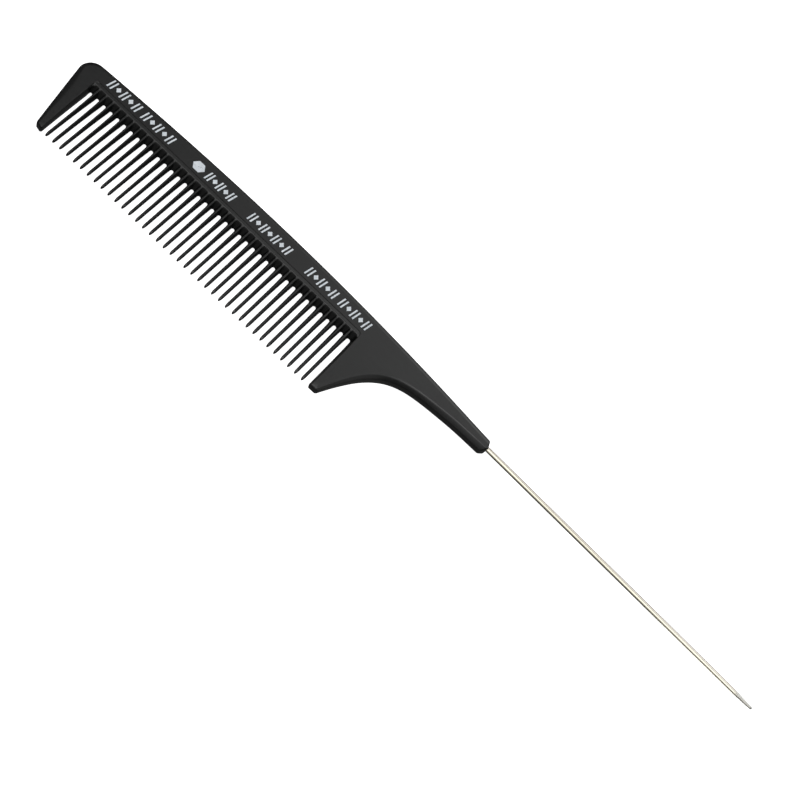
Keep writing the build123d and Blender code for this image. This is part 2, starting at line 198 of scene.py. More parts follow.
class Corner:
    """An arc of the given radius between two straight directions that meet at a point."""

    def __init__(self, point, dir_in, dir_out, radius):
        self.dir_in, self.dir_out, self.radius = unit(dir_in), unit(dir_out), radius
        self.turn = acos(max(-1.0, min(1.0, float(self.dir_in @ self.dir_out))))
        self.length = radius * tan(self.turn / 2)      # from either end to the point
        self.start = point - self.dir_in * self.length
        self.end = point + self.dir_out * self.length
        self.centre = self.start + right(self.dir_in) * radius

    def at(self, share):
        """Point and inward direction at a share of the arc."""
        angle = -self.turn * share
        x, y = right(self.dir_in)
        inward = np.array([x * cos(angle) - y * sin(angle), x * sin(angle) + y * cos(angle)])
        return self.centre - inward * self.radius, inward

    def ridge(self, inset_in, inset_out):
        """The tight corner of a ridge that runs inside this one, at a different inset each side."""
        normal_in, normal_out = right(self.dir_in), right(self.dir_out)
        offsets = [normal_in @ self.start + inset_in, normal_out @ self.end + inset_out]
        point = np.linalg.solve(np.array([normal_in, normal_out]), np.array(offsets))
        return Corner(point, self.dir_in, self.dir_out, RIDGE_R)


class Spline:
    """Smooth cubic through the points, by chord length, with given end directions."""

    def __init__(self, points, start_dir, end_dir):
        p = np.array(points, float)
        h = np.linalg.norm(np.diff(p, axis=0), axis=1)
        n = len(p)
        matrix, rhs = np.zeros((n, n)), np.zeros((n, 2))
        matrix[0, 0] = matrix[-1, -1] = 1
        rhs[0], rhs[-1] = unit(start_dir), unit(end_dir)
        for i in range(1, n - 1):
            matrix[i, i - 1] = 1 / h[i - 1]
            matrix[i, i] = 2 * (1 / h[i - 1] + 1 / h[i])
            matrix[i, i + 1] = 1 / h[i]
            rhs[i] = 3 * ((p[i] - p[i - 1]) / h[i - 1] ** 2 + (p[i + 1] - p[i]) / h[i] ** 2)
        self.points, self.chords, self.slopes = p, h, np.linalg.solve(matrix, rhs)
        self.knots = np.concatenate([[0], np.cumsum(h)])
        self.length = self.knots[-1]

    def at(self, u):
        """Point and direction at a distance u along the chords."""
        i = int(np.searchsorted(self.knots, u, side="right")) - 1
        i = min(max(i, 0), len(self.chords) - 1)
        h = self.chords[i]
        t = (u - self.knots[i]) / h
        p0, p1 = self.points[i], self.points[i + 1]
        m0, m1 = self.slopes[i] * h, self.slopes[i + 1] * h
        point = ((2 * t ** 3 - 3 * t ** 2 + 1) * p0 + (t ** 3 - 2 * t ** 2 + t) * m0
                 + (-2 * t ** 3 + 3 * t ** 2) * p1 + (t ** 3 - t ** 2) * m1)
        slope = ((6 * t ** 2 - 6 * t) * p0 + (3 * t ** 2 - 4 * t + 1) * m0
                 + (-6 * t ** 2 + 6 * t) * p1 + (3 * t ** 2 - 2 * t) * m1)
        return point, unit(slope)


# ---------------------------------------------------------------- heights and gap widths
FACE_DROP, FACE_RUN = HALF_T - GUARD_TIP_HALF_T, GUARD_FLAT_Y - GUARD_TIP_Y
FACE_R = (FACE_RUN ** 2 + FACE_DROP ** 2) / (2 * FACE_DROP)


def face_z(y):
    """Half thickness: flat, then an arc down to the guard tips."""
    run = np.maximum(GUARD_FLAT_Y - np.asarray(y, float), 0.0)
    return HALF_T - (FACE_R - np.sqrt(FACE_R ** 2 - run ** 2))


def gap_half(y):
    """Half width of a gap on the parting plane: a flare that levels off, plus a slight taper."""
    width, flare, flare_run, taper, flare_start = 0.470, 0.18, 4.2, 0.0055, 0.3
    s = np.maximum(GAP_END_Y - np.asarray(y, float), GAP_END_R) - flare_start
    return width + flare * (1 - np.exp(-s / flare_run)) + taper * s


def outer_half(y):
    """The same towards the outer guard, whose flank curves in towards its tip."""
    s = np.maximum(END_ARC_Y - np.asarray(y, float), 0.0)
    width, slope, curve = 0.65, 0.004, 0.00105
    return float(width + slope * s - curve * s * s)


def handle_half(y):
    """The same towards the handle guard."""
    return float(gap_half(y)) + HANDLE_EXTRA


GAP_END_HALF = float(gap_half(GAP_END_Y))
OUTER_HALF = outer_half(END_ARC_Y)


def crest_z(y):
    """Height of the tooth crests."""
    root, tip = BEAD_Y - BEAD_HALF_W, TOOTH_TIP_Y + 0.62
    return CREST_ROOT_Z + (CREST_TIP_Z - CREST_ROOT_Z) * (root - np.asarray(y, float)) / (root - tip)


def bank_z(y):
    """Groove, bead and crest line, without the gaps."""
    y = np.asarray(y, float)
    t = (y - BEAD_Y) / BEAD_HALF_W
    foot = np.where(t > 0, GROOVE_Z, CREST_ROOT_Z)
    bead = BEAD_TOP_Z - (BEAD_TOP_Z - foot) * t ** 2
    return np.where(t < -1, crest_z(y), np.where(t > 1, GROOVE_Z, bead))


def gap_wall_z(v, y, growth, draft):
    """Height at which a point leaves the gap's drafted outline.

    v is the distance from the gap's centre line, growth that of the plan radius with height.
    """
    across, along = v - GAP_END_HALF + GAP_END_R, y - GAP_END_Y + GAP_END_R
    flank_z, end_z = (across - GAP_END_R) / draft, (along - GAP_END_R) / GAP_END_SLOPE
    a, b = draft - growth, GAP_END_SLOPE - growth
    square = a ** 2 + b ** 2 - growth ** 2
    linear = across * a + along * b + GAP_END_R * growth
    constant = across ** 2 + along ** 2 - GAP_END_R ** 2
    root = np.sqrt(np.maximum(linear * linear - square * constant, 0.0))
    corner_z = (linear - root) / square
    in_corner = (across - a * corner_z > 0) & (along - b * corner_z > 0)
    straight_z = np.where(across - a * np.maximum(end_z, 0) <= 0, end_z, flank_z)
    return np.where(in_corner, corner_z, straight_z)


# ---------------------------------------------------------------- outline stations
class Station(NamedTuple):
    """One place on the outline, with the shape of the edge there."""
    point: np.ndarray
    inward: np.ndarray       # from the outline to the ridge
    inset: float             # distance to the ridge between bevel and face
    wall: float              # 0 for a wall with a bevel, 1 for a plain drafted flank
    strip: float             # width of the strip of face
    strip_dir: np.ndarray
    drop: float              # depth of the bevel
    softness: float


stations = []


def add_station(point, inward, inset, wall=0.0, strip=STRIP, strip_dir=None, drop=BEVEL_DROP,
                softness=SOFTNESS):
    inward = unit(inward)
    strip_dir = inward if strip_dir is None else unit(strip_dir)
    stations.append(Station(np.array(point, float), inward, float(inset), float(wall), strip,
                            strip_dir, drop, softness))


def add_corner(corner, steps, insets, walls=(0.0, 0.0), first=False, last=True):
    for i in range(0 if first else 1, steps + 1 if last else steps):
        share = i / steps
        point, inward = corner.at(share)
        inset = lerp(*insets, share)
        add_station(point, inward, inset, lerp(*walls, smooth(share)),
                    strip=min(STRIP, 0.8 * (corner.radius - inset)))


def add_line(start, end, steps, insets, wall=0.0, strip=TIP_STRIP, last=False):
    """A straight run, without its first point."""
    inward = right(unit(end - start))
    for i in range(1, steps + 1 if last else steps):
        share = i / steps
        add_station(lerp(start, end, share), inward, lerp(*insets, share), wall, strip)


def add_ridged(point, ridge, strip_dir, strip=END_STRIP, **shape):
    """A station whose ridge has its own place."""
    add_station(point, ridge - point, np.linalg.norm(ridge - point), 0.0, strip, strip_dir, **shape)


def add_ridged_corner(corner, ridge, steps, drop):
    for i in range(1, steps + 1):
        point, inward = corner.at(i / steps)
        add_ridged(point, ridge.at(i / steps)[0], inward, drop=drop)


def add_ridged_line(start, end, ridge_start, ridge_end, steps, drops):
    inward = right(unit(end - start))
    for i in range(1, steps + 1):
        share = i / steps
        add_ridged(lerp(start, end, share), lerp(ridge_start, ridge_end, share), inward,
                   drop=lerp(*drops, share))


def guard_inset(y, foot_inset):
    """Bevel of a guard's outer side, narrowing to foot_inset at its foot."""
    return lerp(foot_inset, BEVEL_INSET, float(smooth((y - GUARD_BEVEL_Y) / GUARD_BEVEL_RUN)))


def foot_insets(draft):
    """Insets where a drafted flank ends, and where the guard's corner begins."""
    extra = 0.02
    return draft * float(face_z(FLANK_END_Y)), extra, draft * float(face_z(GUARD_FOOT_Y)) + extra


spine_points = [head(p) for p in SPINE]
lower_points = [head(p) for p in reversed(LOWER_EDGE)]
nose, handle_point = head(NOSE), head(HANDLE_POINT)
outer_tip_out, guard_out = head(OUTER_TIP_OUT), lower_points[-1]
outer_tip_in = head(OUTER_TIP_IN)
outer_tip_in = slide_to_x(outer_tip_in, unit(outer_tip_out - outer_tip_in),
                          FIRST_GAP_X - outer_half(-21.8))
guard_tip_dir = unit(head(HANDLE_TIP_IN) - guard_out)
guard_in = slide_to_x(guard_out, guard_tip_dir, LAST_GAP_X + handle_half(GUARD_FOOT_Y))

spine_start_dir, spine_end_dir = unit(spine_points[0] - nose), unit((1, -0.062))
end_dir = unit(handle_point - spine_points[-1])
diagonal_dir = unit(lower_points[0] - handle_point)
lower_start_dir, lower_end_dir = unit((-1, -0.02)), unit((-0.43, -0.9))

outer_in_corner = Corner(outer_tip_in, (0.03, -1), outer_tip_out - outer_tip_in, 0.5)
outer_out_corner = Corner(outer_tip_out, outer_tip_out - outer_tip_in, nose - outer_tip_out, 0.80)
nose_corner = Corner(nose, nose - outer_tip_out, spine_start_dir, NOSE_R)
spine_end_corner = Corner(spine_points[-1], spine_end_dir, end_dir, 0.55)
point_corner = Corner(handle_point, end_dir, diagonal_dir, 0.45)
lower_corner = Corner(lower_points[0], diagonal_dir, lower_start_dir, 0.9)
guard_out_corner = Corner(guard_out, lower_end_dir, guard_tip_dir, 0.85)
guard_in_corner = Corner(guard_in, guard_tip_dir, (-0.007, 1), 0.5)


def outer_guard():
    """Down the flank beside the first gap, round the tip and up the -x side."""
    for y in FLANK_ROWS:
        add_station((FIRST_GAP_X - outer_half(y), y), (-1, 0), OUTER_DRAFT * float(face_z(y)), 1.0)
    flank_inset, extra, corner_inset = foot_insets(OUTER_DRAFT)
    flank_end = np.array([FIRST_GAP_X - outer_half(FLANK_END_Y), FLANK_END_Y])
    add_line(flank_end, outer_in_corner.start, 2, (flank_inset, flank_inset + extra), wall=1.0,
             last=True)
    add_corner(outer_in_corner, 7, (corner_inset, TIP_IN_INSET), walls=(1.0, 0.0))
    add_line(outer_in_corner.end, outer_out_corner.start, 2, (TIP_IN_INSET, TIP_INSET))
    add_corner(outer_out_corner, 8, (TIP_INSET, OUTER_INSET), first=True, last=False)
    start, end, steps = outer_out_corner.end, nose_corner.start, 20
    for i in range(steps + 1):
        point = lerp(start, end, i / steps)
        middle = sin(pi * i / steps)       # the bevel is widest and softest halfway
        add_station(point, right(unit(end - start)),
                    guard_inset(point[1], OUTER_INSET) * (1 + 0.22 * middle),
                    strip=STRIP + 0.45 * middle, softness=SOFTNESS + 0.32 * middle)


def nose_and_spine():
    bevel = (BEVEL_INSET, BEVEL_INSET)
    add_corner(nose_corner, 14, bevel)
    add_line(nose_corner.end, spine_points[0], 2, bevel, strip=STRIP)
    spine, steps = Spline(spine_points, spine_start_dir, spine_end_dir), 104
    for i in range(steps):
        point, direction = spine.at((spine.length - spine_end_corner.length) * i / steps)
        add_station(point, right(direction), BEVEL_INSET)
    add_station(spine_end_corner.start, right(spine_end_dir), BEVEL_INSET)


def handle_end():
    """Round the +x end. Returns how far the ridge is ahead of the outline where it ends."""
    upper_ridge = spine_end_corner.ridge(BEVEL_INSET, END_INSET)
    add_ridged_corner(spine_end_corner, upper_ridge, 8, BEVEL_DROP)
    add_ridged_line(spine_end_corner.end, point_corner.start, upper_ridge.end,
                    point_corner.start + right(end_dir) * END_INSET, 8, (BEVEL_DROP, BEVEL_DROP))
    add_corner(point_corner, 5, (END_INSET, END_INSET))
    lower_ridge = lower_corner.ridge(END_INSET, LOWER_INSET)
    add_ridged_line(point_corner.end, lower_corner.start,
                    point_corner.end + right(diagonal_dir) * END_INSET, lower_ridge.start, 6,
                    (BEVEL_DROP, LOWER_DROP))
    add_ridged_corner(lower_corner, lower_ridge, 6, LOWER_DROP)
    return float((lower_ridge.end - lower_corner.end) @ -lower_start_dir)


def lower_edge(ridge_lead):
    """The handle's -y edge, which curves down into the handle guard's outer side."""
    lower, steps = Spline(lower_points, lower_start_dir, lower_end_dir), 60
    u_start, u_end = lower_corner.length, lower.length - guard_out_corner.length
    for i in range(1, steps + 1):
        # stations lie closer together near the handle's end
        u = u_start + (u_end - u_start) * (0.55 * i / steps + 0.45 * (i / steps) ** 1.6)
        point, direction = lower.at(u)
        if i == steps:
            point, direction = guard_out_corner.start, lower_end_dir
        x, y = point
        on_handle = float(smooth(1 + (y + 4.2) / 6.0))     # 1 on the handle, 0 on the guard
        near_end = float(smooth((x + 26.0) / 18.0))        # 1 close to the handle's end
        run_in = min(1.0, (u - u_start) / 4.0)             # widens the strip from its start
        inset = (guard_inset(y, HANDLE_INSET)
                 + (LOWER_INSET - BEVEL_INSET) * on_handle * near_end)
        ridge = point + right(direction) * inset - direction * ridge_lead * exp(-(u - u_start) / 1.2)
        wider = STRIP - END_STRIP + 0.40 * on_handle * (1 - 0.55 * near_end)
        add_ridged(point, ridge, right(direction), strip=END_STRIP + wider * run_in,
                   drop=lerp(BEVEL_DROP, LOWER_DROP, on_handle),
                   softness=SOFTNESS + 0.32 * on_handle * (1 - 0.4 * near_end))


def handle_guard():
    """Round the tip and up the flank beside the last gap."""
    flank_inset, extra, corner_inset = foot_insets(HANDLE_DRAFT)
    start_inset = guard_inset(guard_out_corner.start[1], HANDLE_INSET)
    add_corner(guard_out_corner, 8, (start_inset, TIP_INSET))
    add_line(guard_out_corner.end, guard_in_corner.start, 4, (TIP_INSET, TIP_IN_INSET))
    add_corner(guard_in_corner, 7, (TIP_IN_INSET, corner_inset), walls=(0.0, 1.0), first=True)
    flank_end = np.array([LAST_GAP_X + handle_half(FLANK_END_Y), FLANK_END_Y])
    add_line(guard_in_corner.end, flank_end, 2, (flank_inset + extra, flank_inset), wall=1.0)
    for y in reversed(FLANK_ROWS):
        add_station((LAST_GAP_X + handle_half(y), y), (1, 0), HANDLE_DRAFT * float(face_z(y)), 1.0)


def edge_section(station):
    """Section of wall, bevel and strip of face at a station: rows of (x, y, z, wear)."""
    inset, wall = station.inset, station.wall
    ridge = station.point + station.inward * inset
    face = float(face_z(ridge[1]))
    drop = min(station.drop * min(1.0, inset / BEVEL_INSET) ** 0.7, 0.46 * face)
    # (distance in, z) of the section's corners
    foot = np.array([0.0, 0.0])
    toe = np.array([0.004 * (1 - wall) + TOOTH_DRAFT * FOOT_Z * wall, FOOT_Z])
    shoulder = lerp(np.array([0.015, face - drop]), np.array([inset * 0.6, face * 0.6]), wall)
    crest = np.array([inset, face])
    wall_dir, bevel_dir = unit(shoulder - toe), unit(crest - shoulder)
    bevel_length = np.linalg.norm(crest - shoulder)
    shoulder_r = min(0.17, 0.3 * bevel_length, 0.3 * np.linalg.norm(shoulder - toe))
    crest_r = min(station.softness, 0.3 * bevel_length, 0.8 * station.strip)
    shoulder_a, shoulder_b = shoulder - wall_dir * shoulder_r, shoulder + bevel_dir * shoulder_r
    crest_a, crest_b = crest - bevel_dir * crest_r, crest + np.array([crest_r, 0.0])
    section = [
        (foot, 0.5), (toe, 0.5), ((toe + shoulder_a) / 2, 0.0), (shoulder_a, 0.1),
        (bezier(shoulder_a, shoulder, shoulder_b, 0.33), 0.7),
        (bezier(shoulder_a, shoulder, shoulder_b, 0.67), 0.7),
        (shoulder_b, 0.2), ((shoulder_b + crest_a) / 2, 0.0), (crest_a, 0.4),
        (bezier(crest_a, crest, crest_b, 0.33), 1.0),
        (bezier(crest_a, crest, crest_b, 0.67), 1.0), (crest_b, 0.35),
    ]
    rows = []
    for (distance, z), wear in section:
        if distance <= inset:
            x, y = station.point + station.inward * distance
        else:
            x, y = ridge + station.strip_dir * (distance - inset)
        rows.append((x, y, z, wear))
    x, y = ridge + station.strip_dir * station.strip
    rows.append((x, y, float(face_z(y)), 0.0))
    return rows


# ---------------------------------------------------------------- upper half of the comb
class Surface:
    """Vertices, their wear, and faces."""

    def __init__(self):
        self.vertices, self.wear, self.faces = [], [], []

    def add_point(self, point, wear):
        self.vertices.append([float(value) for value in point])
        self.wear.append(wear)

    def add_grid(self, points, wear):
        """Quads between rows x columns of points. Returns the first vertex's index."""
        base = len(self.vertices)
        rows, columns = points.shape[:2]
        self.vertices.extend(points.reshape(-1, 3).tolist())
        self.wear.extend(wear.reshape(-1).tolist())
        for i in range(rows - 1):
            a, b = base + i * columns, base + (i + 1) * columns
            for j in range(columns - 1):
                self.faces.append((a + j, a + j + 1, b + j + 1, b + j))
        return base


def tooth_section(y):
    """Distances from a tooth's centre line, and heights, from the centre to the flank's foot."""
    half = PITCH / 2 - float(gap_half(y))
    crest = float(crest_z(y))
    u = np.concatenate([CREST_SHARES * (half - TOOTH_DRAFT * crest),
                        half - TOOTH_DRAFT * crest * FLANK_SHARES])
    z = np.maximum(soft_min(crest, (half - u) / TOOTH_DRAFT), 0.0)
    z[-1] = 0.0
    return u, z


def bank_columns(first_edge, last_edge):
    """Columns of the bank, as x, distance from the gap's centre, and the y and z they end at.

    Also returns the index of each tooth's centre column.
    """
    tooth_u, tooth_z = tooth_section(END_ARC_Y)
    arc_u = tooth_u[-1] + GAP_END_R * (1 - np.cos(END_ARC_ANGLES))
    arc_y = GAP_END_Y - GAP_END_R + GAP_END_R * np.sin(END_ARC_ANGLES)
    # half a cell, from a tooth's centre to the gap's
    cell_u = np.concatenate([tooth_u, arc_u, [PITCH / 2]])
    cell_y = np.concatenate([np.full(len(tooth_u), END_ARC_Y), arc_y, [GAP_END_Y]])
    cell_z = np.concatenate([tooth_z, np.zeros(len(arc_u) + 1)])
    half = len(cell_u) - 1
    gap_end = [(PITCH / 2 - cell_u[k], cell_y[k]) for k in range(len(tooth_u), half + 1)]

    columns = [(x, FIRST_GAP_X - x + GAP_END_HALF - OUTER_HALF, END_ARC_Y, z)
               for x, _, z, _ in first_edge[::-1]]
    for v, y in gap_end:
        shift = (OUTER_HALF - GAP_END_HALF) * min(v / GAP_END_HALF, 1.0)
        columns.append((FIRST_GAP_X - v - shift, v, y, 0.0))
    centres = []
    for tooth in range(TEETH):
        centre_x = FIRST_GAP_X + (tooth + 0.5) * PITCH
        centres.append(len(columns) + half - 1)
        for k in range(1 - half, half + 1):
            u = cell_u[abs(k)]
            columns.append((centre_x + (u if k > 0 else -u), PITCH / 2 - u,
                            cell_y[abs(k)], cell_z[abs(k)]))
    for v, y in reversed(gap_end[:-1]):
        shift = HANDLE_EXTRA * min(v / GAP_END_HALF, 1.0)
        columns.append((LAST_GAP_X + v + shift, v, y, 0.0))
    columns += [(x, x - LAST_GAP_X - HANDLE_EXTRA, END_ARC_Y, z) for x, _, z, _ in last_edge]
    return np.array(columns), centres


def tooth_bank(surface, columns):
    """Window edge, groove, bead and tooth roots down to the gaps' closed ends."""
    column_x, column_v, end_y, end_z = columns.T
    Y = np.array([np.full(len(columns), y) for y in BANK_ROWS]
                 + [BANK_SPLIT_Y + share * (end_y - BANK_SPLIT_Y) for share in BANK_SHARES])
    X = np.broadcast_to(column_x, Y.shape).copy()
    distance = np.broadcast_to(column_v, Y.shape)
    # the bank's surface inside the window, the face outside it
    inset_x, inset_y = np.minimum(X - WINDOW_LEFT, WINDOW_RIGHT - X), WINDOW_TOP_Y - Y
    corner_x, corner_y = WINDOW_R - inset_x, WINDOW_R - inset_y
    corner_inset = WINDOW_R - np.sqrt(np.maximum(corner_x, 0) ** 2 + np.maximum(corner_y, 0) ** 2)
    window_inset = np.where((corner_x > 0) & (corner_y > 0), corner_inset,
                            np.minimum(inset_x, inset_y))
    share = smooth((window_inset + 0.05) / 0.10)
    solid_z = face_z(Y) + (bank_z(Y) - face_z(Y)) * share
    beside_outer, beside_handle = X < FIRST_GAP_X, X > LAST_GAP_X
    growth = np.where(beside_outer | beside_handle, GUARD_GROWTH, 0.0)
    draft = np.where(beside_outer, OUTER_DRAFT, np.where(beside_handle, HANDLE_DRAFT, TOOTH_DRAFT))
    wall_z = gap_wall_z(distance, Y, growth, draft)
    Z = np.maximum(soft_min(solid_z, wall_z), 0.0)
    Z[0, :] = HALF_T
    Z[-1, :] = end_z           # meets the sections of teeth and guards
    for i in (0, -1):
        Z[:, i] = face_z(Y[:, i])
    # worn along the bead, the window's upper edge and the crest edges
    wear = np.clip(1 - np.abs(Y - BEAD_Y) / 0.35, 0, 1) * 0.5
    wear += np.clip(1 - np.abs(Y - (WINDOW_TOP_Y + 0.02)) / 0.10, 0, 1) * 0.6
    wear += np.clip(1 - np.abs(solid_z - wall_z) / 0.22, 0, 1) * 0.7
    wear[0, :] = 0
    bank = np.dstack([X, Y, Z])
    surface.add_grid(bank, np.clip(wear, 0, 1))
    return bank


def mirrored(half_row):
    return np.concatenate([half_row[::-1], half_row[1:]])


def add_teeth(surface, bank, centres):
    """The free teeth, each from the bank's last row to a rounded tip."""
    rows = [(y, *tooth_section(y)) for y in TOOTH_ROWS]
    tip_u, tip_z = tooth_section(TIP_START_Y)
    for angle in TIP_ANGLES:
        y = TIP_START_Y + (TOOTH_TIP_Y - TIP_START_Y) * sin(radians(angle))
        size = cos(radians(angle)) ** 0.9
        rows.append((y, tip_u * size, tip_z * size))
    reach = len(tip_u)
    for tooth, centre in enumerate(centres):
        centre_x = FIRST_GAP_X + (tooth + 0.5) * PITCH
        grid = []
        for y, u, z in rows:
            xs = np.concatenate([-u[::-1], u[1:]]) + centre_x
            grid.append(np.stack([xs, np.full(len(xs), y), mirrored(z)], 1))
        grid[0] = bank[-1, centre - (reach - 1):centre + reach]
        grid = np.array(grid)
        wear = np.tile(mirrored(TOOTH_WEAR), (len(rows), 1))
        tip_wear = np.clip((-grid[:, 0, 1] - 19.5) / 1.6, 0, 1)[:, None] * 0.5
        base = surface.add_grid(grid, np.clip(wear + tip_wear, 0, 1))
        last_row = base + (len(rows) - 1) * grid.shape[1]
        tip = len(surface.vertices)
        surface.add_point([centre_x, TOOTH_TIP_Y, 0.0], 1.0)
        for j in range(grid.shape[1] - 1):
            surface.faces.append((last_row + j, last_row + j + 1, tip))


def grid_inside(loop):
    """Staggered grid points inside a closed loop, clear of its edge."""
    x, y = np.meshgrid(np.arange(*FILL_X, FILL_X_STEP), np.arange(*FILL_Y, FILL_Y_STEP))
    x = x + (np.arange(x.shape[0]) % 2)[:, None] * (FILL_X_STEP / 2)
    points = np.stack([x.ravel(), y.ravel()], 1)
    inside = np.zeros(len(points), bool)
    for (x0, y0), (x1, y1) in zip(loop, np.roll(loop, -1, axis=0)):
        crosses = (y0 > points[:, 1]) != (y1 > points[:, 1])
        if crosses.any():
            crossing_x = x0 + (points[:, 1] - y0) * (x1 - x0) / (y1 - y0)
            inside ^= crosses & (points[:, 0] < crossing_x)
    points = points[inside]
    distance = np.sqrt(((points[:, None, :] - loop[None, :, :]) ** 2).sum(2)).min(1)
    return points[distance > FILL_CLEARANCE]


def flat_face(surface, inner_edge, bank):
    """Triangles between the bevels' inner edge and the tooth bank."""
    loop = np.vstack([inner_edge, bank[-2:0:-1, -1], bank[0, ::-1], bank[1:-1, 0]])
    fill = grid_inside(loop[:, :2])
    points = np.vstack([loop, np.column_stack([fill, face_z(fill[:, 1])])])
    flat = [Vector((float(x), float(y))) for x, y, _ in points]
    result = delaunay_2d_cdt(flat, [], [list(range(len(loop)))], 1, 1e-7)
    places, triangles, sources = result[0], result[2], result[3]
    base = len(surface.vertices)
    for place, source in zip(places, sources):
        if source:
            point = points[source[0]]
        else:                  # a point the triangulation added itself
            point = (place.x, place.y, face_z(place.y))
        surface.add_point(point, 0.0)
    for triangle in triangles:
        surface.faces.append(tuple(base + k for k in triangle))


# ---------------------------------------------------------------- pieces
def mesh_object(name, vertices, faces, wear):
    mesh = bpy.data.meshes.new(name)
    mesh.from_pydata([tuple(map(float, v)) for v in vertices], [], faces)
    attribute = mesh.attributes.new("wear", "FLOAT", "POINT")
    attribute.data.foreach_set("value", np.asarray(wear, np.float32))
    mesh.update()
    piece = bpy.data.objects.new(name, mesh)
    bpy.context.scene.collection.objects.link(piece)
    return piece


def comb_body():
    outer_guard()
    nose_and_spine()
    lower_edge(ridge_lead=handle_end())
    handle_guard()
    edge = np.array([edge_section(station) for station in stations])
    half = Surface()
    half.add_grid(edge[:, :, :3], edge[:, :, 3])
    columns, centres = bank_columns(edge[0], edge[-1])
    bank = tooth_bank(half, columns)
    add_teeth(half, bank, centres)
    flat_face(half, edge[:, -1, :3], bank)

    upper = np.array(half.vertices, float)
    lower = upper * (1, 1, -1)
    lower_faces = [tuple(len(upper) + k for k in reversed(face)) for face in half.faces]
    body = mesh_object("comb_moulding", np.vstack([upper, lower]), half.faces + lower_faces,
                       half.wear + half.wear)
    bm = bmesh.new()
    bm.from_mesh(body.data)
    bmesh.ops.remove_doubles(bm, verts=bm.verts, dist=0.0015)
    bmesh.ops.dissolve_degenerate(bm, edges=bm.edges, dist=0.0005)
    bmesh.ops.recalc_face_normals(bm, faces=bm.faces)
    low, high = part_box("comb_body")
    for vertex in bm.verts:
        x, y, z = vertex.co
        turned = ((x * TILT_COS - y * TILT_SIN) / MM, (x * TILT_SIN + y * TILT_COS) / MM, z / MM)
        # the extremes may stand out of the CAD box by a few micrometres
        vertex.co = Vector([min(max(turned[k], low[k]), high[k]) for k in range(3)])
    bm.to_mesh(body.data)
    bm.free()
    return body


def pin_sections(clearance):
    """Sections along the pin: x, half width along y, half width along z."""
    shapes = [(PIN_START, PIN_R - 0.12, 0.0), (PIN_START + 0.12, PIN_R, 0.0)]
    for wing_x in WING_X:
        shapes += [(wing_x + offset, PIN_R, share) for offset, share in WING_PROFILE]
    round_part = [(-2.0, PIN_R), (-0.7, PIN_R), (-0.15, PIN_R - 0.03), (0.40, PIN_R)]
    round_part += [(x, PIN_R) for x in (4, 10, 17, 24, 31, 38, 45, 52, TAPER_START)]
    round_part += [(TAPER_START + TAPER_LENGTH * t, PIN_R - TAPER_DEPTH * t)
                   for t in (0.2, 0.4, 0.6, 0.8, 0.95)]
    round_part += [(87.0, 0.6605), (87.3, 0.657), (CONE_START, CONE_R)]
    ball_x = PIN_END - PIN_TIP_R
    cone_end = ball_x + PIN_TIP_R * cos(radians(70))
    cone_end_r = PIN_TIP_R * sin(radians(70))
    round_part += [(lerp(CONE_START, cone_end, t), lerp(CONE_R, cone_end_r, t))
                   for t in (0.25, 0.5, 0.75, 0.92, 1.0)]
    round_part += [(ball_x + PIN_TIP_R * cos(radians(a)), PIN_TIP_R * sin(radians(a)))
                   for a in (58, 46, 34, 22, 10)]
    shapes += [(x, radius, 0.0) for x, radius in round_part]
    return [(x, lerp(radius, WING_HALF_W, wing) + clearance,
             lerp(radius, WING_HALF_T, wing) + clearance) for x, radius, wing in shapes]


def pin_object(name, clearance=0.0, cut_x=None):
    """The pin, or its shape swollen by a clearance and cut off flat at cut_x."""
    sections, end_x = pin_sections(clearance), PIN_END
    if cut_x is not None:
        sections = [section for section in sections if section[0] <= cut_x]
        sections.append((cut_x, *sections[-1][1:]))
        end_x = cut_x
    vertices, faces, n = [], [], PIN_SIDES
    for x, half_y, half_z in sections:
        for k in range(n):
            a = 2 * pi * (k + 0.5) / n
            vertices.append((x / MM, half_y * cos(a) / MM, half_z * sin(a) / MM))
    for i in range(len(sections) - 1):
        for k in range(n):
            k1 = (k + 1) % n
            faces.append((i * n + k, i * n + k1, (i + 1) * n + k1, (i + 1) * n + k))
    start, end, last = len(vertices), len(vertices) + 1, (len(sections) - 1) * n
    vertices += [(sections[0][0] / MM, 0, 0), (end_x / MM, 0, 0)]
    faces += [(k, start, (k + 1) % n) for k in range(n)]
    faces += [(last + k, last + (k + 1) % n, end) for k in range(n)]
    piece = mesh_object(name, vertices, faces, np.zeros(len(vertices)))
    bm = bmesh.new()
    bm.from_mesh(piece.data)
    bmesh.ops.recalc_face_normals(bm, faces=bm.faces)
    bm.to_mesh(piece.data)
    bm.free()
    return piece


def bore(body):
    """Cuts the pin's seat out of the handle."""
    cutter = pin_object("bore_cutter", clearance=BORE_CLEARANCE, cut_x=BORE_END)
    modifier = body.modifiers.new("bore", "BOOLEAN")
    modifier.operation, modifier.object, modifier.solver = "DIFFERENCE", cutter, "EXACT"
    depsgraph = bpy.context.evaluated_depsgraph_get()
    bored = bpy.data.meshes.new_from_object(body.evaluated_get(depsgraph))
    body.modifiers.clear()
    if len(bored.polygons) > 1000:     # guards against a failed, nearly empty cut
        solid = body.data
        body.data = bored
        bpy.data.meshes.remove(solid)
        body.data.name = "comb_moulding"
    bpy.data.objects.remove(cutter)


